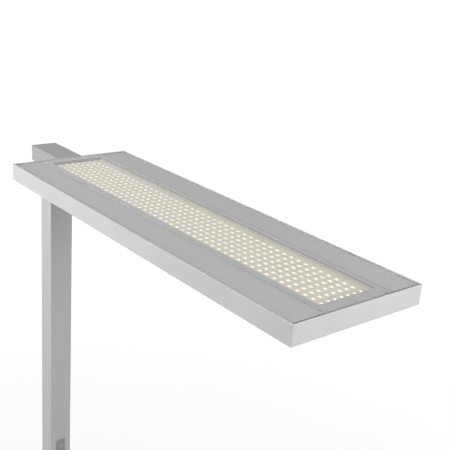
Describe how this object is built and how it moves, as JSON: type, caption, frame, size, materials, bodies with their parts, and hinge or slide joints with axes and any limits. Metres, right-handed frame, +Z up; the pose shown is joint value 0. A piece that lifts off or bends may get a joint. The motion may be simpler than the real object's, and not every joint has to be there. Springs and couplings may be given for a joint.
{
  "type": "office floor lamp",
  "caption": "Free-standing office floor lamp: long flat LED head with an uplight window, cantilevered from a rectangular pole on a flat base plate.",
  "frame": {"origin": "on the floor, under the pole's axis, on the rubber mat's underside", "axes": "+X from the pole towards the head's free end, +Y across the head, +Z up"},
  "size_m": [1.142, 0.36, 1.95],
  "materials": {
    "silver_coat": "fine satin silver anodised extrusion",
    "cover_coat": "matt silver-grey coated aluminium sheet",
    "inner_aluminium": "mill-finish aluminium",
    "zinc_steel": "zinc-plated steel",
    "base_steel": "satin silver powder coat on steel plate",
    "mat_rubber": "dark grey foam rubber",
    "rubber_black": "black rubber",
    "clear_acrylic": "clear polished acrylic",
    "opal_acrylic": "micro-prismatic opal acrylic",
    "board_white": "white solder mask",
    "led_face": "warm white LED face",
    "white_sheet": "white-lacquered aluminium sheet",
    "white_plastic": "white moulded plastic",
    "black_plastic": "black moulded plastic",
    "green_board": "green solder mask",
    "button_plastic": "silver-painted plastic"
  },
  "bodies": {
    "lamp": {"base_mat": "mat_rubber", "base_plate": "base_steel", "foot_screws": "zinc_steel", "pole_foot": "inner_aluminium", "pole_foot_screws": "zinc_steel", "pole_tube": "silver_coat", "cable_grommet": "rubber_black", "pole_terminal": "white_plastic", "pole_cable": "rubber_black", "control_bezel": "button_plastic", "button_switch": "black_plastic", "control_board": "green_board", "pole_top_plug": "inner_aluminium", "pole_bolts": "zinc_steel", "neck_block": "inner_aluminium", "head_bolts": "zinc_steel", "arm_cover": "silver_coat", "arm_cover_screws": "zinc_steel", "arm_end_cap": "silver_coat", "end_beam": "inner_aluminium", "rim_front": "silver_coat", "rim_back": "silver_coat", "rim_left": "silver_coat", "rim_right": "silver_coat", "corner_cleat_1": "inner_aluminium", "corner_cleat_2": "inner_aluminium", "corner_cleat_3": "inner_aluminium", "corner_cleat_4": "inner_aluminium", "cleat_screws": "zinc_steel", "top_plate": "cover_coat", "top_plate_screws": "zinc_steel", "window_sheet": "clear_acrylic", "window_screws": "zinc_steel", "led_tray": "cover_coat", "uplight_board": "board_white", "uplight_leds": "led_face", "reflector": "white_sheet", "downlight_strip_1": "board_white", "downlight_strip_2": "board_white", "downlight_strip_3": "board_white", "diffuser": "opal_acrylic", "bottom_plate": "cover_coat", "bottom_plate_screws": "zinc_steel", "driver_up": "white_plastic", "driver_down": "white_plastic", "head_terminal": "white_plastic", "head_lead_front": "white_plastic", "head_lead_back": "white_plastic"},
    "button": {"dimmer_button": "button_plastic"}
  },
  "joints": [
    {"name": "dimmer_press", "type": "slide", "parent": "lamp", "child": "button", "axis": [-1, 0, 0], "range_m": [0, 0.0012], "stiffness_N_per_m": 1500}
  ]
}
